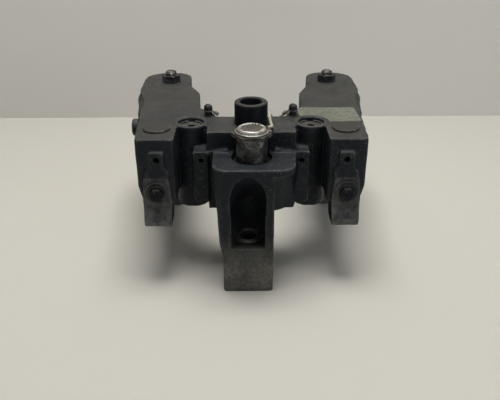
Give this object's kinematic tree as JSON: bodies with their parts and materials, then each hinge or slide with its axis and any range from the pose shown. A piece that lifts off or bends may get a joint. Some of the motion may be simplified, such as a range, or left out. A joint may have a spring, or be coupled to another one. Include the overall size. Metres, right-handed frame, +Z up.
{
  "type": "hydraulic compression brake housing",
  "caption": "Cast iron hydraulic housing with slave and master pistons, control valves, leaf springs and a central solenoid valve over a bolt-down foot.",
  "frame": {"origin": "on the bottom face of the mounting foot, on the centre plane, halfway along the foot from front to back", "axes": "+X to the right seen from the solenoid side, +Y to the back towards the slave pistons, +Z up out of the machined top face"},
  "size_m": [0.2294, 0.2259, 0.1555],
  "materials": {
    "cast_iron_oily": "black painted cast iron with an oil film",
    "black_steel": "blackened steel, satin",
    "dull_steel": "dull oily steel",
    "ground_steel": "ground steel, oiled",
    "spring_steel_oily": "spring steel with an oil film",
    "spring_wire": "drawn wire, satin",
    "rusty_can": "plated can with rust stains",
    "insulator": "dusty beige insulator",
    "black_moulding": "black moulded insulator, dusty",
    "seal_rubber": "matte rubber",
    "tinned_brass": "tarnished tin plate",
    "wire_cover": "cream lead cover, dirty",
    "blank_plate": "blank lacquered plate, worn"
  },
  "bodies": {
    "casting": {"housing": "cast_iron_oily", "spacer_tube": "black_steel", "plug_disc_left": "dull_steel", "plug_disc_right": "dull_steel", "leaf_spring_left": "spring_steel_oily", "leaf_spring_right": "spring_steel_oily", "leaf_washer_left": "spring_steel_oily", "leaf_washer_right": "spring_steel_oily", "leaf_bolt_left": "black_steel", "leaf_bolt_right": "black_steel", "valve_spring_left": "spring_wire", "valve_spring_right": "spring_wire", "valve_cap_left": "dull_steel", "valve_cap_right": "dull_steel", "retaining_ring_left": "dull_steel", "retaining_ring_right": "dull_steel", "slave_spring_left": "spring_wire", "slave_spring_right": "spring_wire", "spring_retainer_left": "dull_steel", "spring_retainer_right": "dull_steel", "slave_circlip_left": "dull_steel", "slave_circlip_right": "dull_steel", "solenoid_can": "rusty_can", "solenoid_hex": "dull_steel", "solenoid_rim": "dull_steel", "solenoid_disc": "insulator", "solenoid_wire_ring": "spring_wire", "solenoid_seals": "seal_rubber", "lead_lug": "tinned_brass", "lead_wire": "wire_cover", "ring_terminal_left": "tinned_brass", "ring_terminal_right": "tinned_brass", "terminal_screw_left": "black_steel", "terminal_screw_right": "black_steel", "terminal_post_left": "black_moulding", "terminal_post_right": "black_moulding", "flank_plug": "black_steel", "nameplate": "blank_plate", "nameplate_rivets": "tinned_brass"},
    "master_piston_left": {"master_piston_left": "ground_steel"},
    "control_valve_left": {"control_valve_left": "ground_steel"},
    "slave_piston_left": {"slave_piston_left": "ground_steel"},
    "adjusting_screw_left": {"adjusting_screw_left": "black_steel"},
    "locknut_left": {"locknut_left": "black_steel"},
    "master_piston_right": {"master_piston_right": "ground_steel"},
    "control_valve_right": {"control_valve_right": "ground_steel"},
    "slave_piston_right": {"slave_piston_right": "ground_steel"},
    "adjusting_screw_right": {"adjusting_screw_right": "black_steel"},
    "locknut_right": {"locknut_right": "black_steel"},
    "solenoid_armature": {"solenoid_armature": "ground_steel"}
  },
  "joints": [
    {"name": "slave_piston_left_slide", "type": "slide", "parent": "casting", "child": "slave_piston_left", "axis": [0, 0, -1], "range_m": [0, 0.008], "stiffness_N_per_m": 2000, "springref_m": -0.004, "deforming": ["slave_spring_left"]},
    {"name": "master_piston_left_slide", "type": "slide", "parent": "casting", "child": "master_piston_left", "axis": [0, 0, -1], "range_m": [0, 0.006], "stiffness_N_per_m": 1500, "springref_m": -0.003, "deforming": ["leaf_spring_left"]},
    {"name": "control_valve_left_slide", "type": "slide", "parent": "casting", "child": "control_valve_left", "axis": [0, 0, 1], "range_m": [0, 0.005], "stiffness_N_per_m": 400, "springref_m": -0.003, "deforming": ["valve_spring_left"]},
    {"name": "adjusting_screw_left_turn", "type": "hinge", "parent": "casting", "child": "adjusting_screw_left", "pos_m": [-0.0825, 0.15, 0.148], "axis": [0, 0, 1], "range_deg": [-180, 180]},
    {"name": "locknut_left_turn", "type": "hinge", "parent": "casting", "child": "locknut_left", "pos_m": [-0.0825, 0.15, 0.14], "axis": [0, 0, 1], "range_deg": [-180, 180]},
    {"name": "slave_piston_right_slide", "type": "slide", "parent": "casting", "child": "slave_piston_right", "axis": [0, 0, -1], "range_m": [0, 0.008], "stiffness_N_per_m": 2000, "springref_m": -0.004, "deforming": ["slave_spring_right"]},
    {"name": "master_piston_right_slide", "type": "slide", "parent": "casting", "child": "master_piston_right", "axis": [0, 0, -1], "range_m": [0, 0.006], "stiffness_N_per_m": 1500, "springref_m": -0.003, "deforming": ["leaf_spring_right"]},
    {"name": "control_valve_right_slide", "type": "slide", "parent": "casting", "child": "control_valve_right", "axis": [0, 0, 1], "range_m": [0, 0.005], "stiffness_N_per_m": 400, "springref_m": -0.003, "deforming": ["valve_spring_right"]},
    {"name": "adjusting_screw_right_turn", "type": "hinge", "parent": "casting", "child": "adjusting_screw_right", "pos_m": [0.0825, 0.15, 0.148], "axis": [0, 0, 1], "range_deg": [-180, 180]},
    {"name": "locknut_right_turn", "type": "hinge", "parent": "casting", "child": "locknut_right", "pos_m": [0.0825, 0.15, 0.14], "axis": [0, 0, 1], "range_deg": [-180, 180]},
    {"name": "solenoid_armature_slide", "type": "slide", "parent": "casting", "child": "solenoid_armature", "axis": [0, 0, 1], "range_m": [0, 0.0012], "stiffness_N_per_m": 300, "springref_m": -0.002}
  ]
}
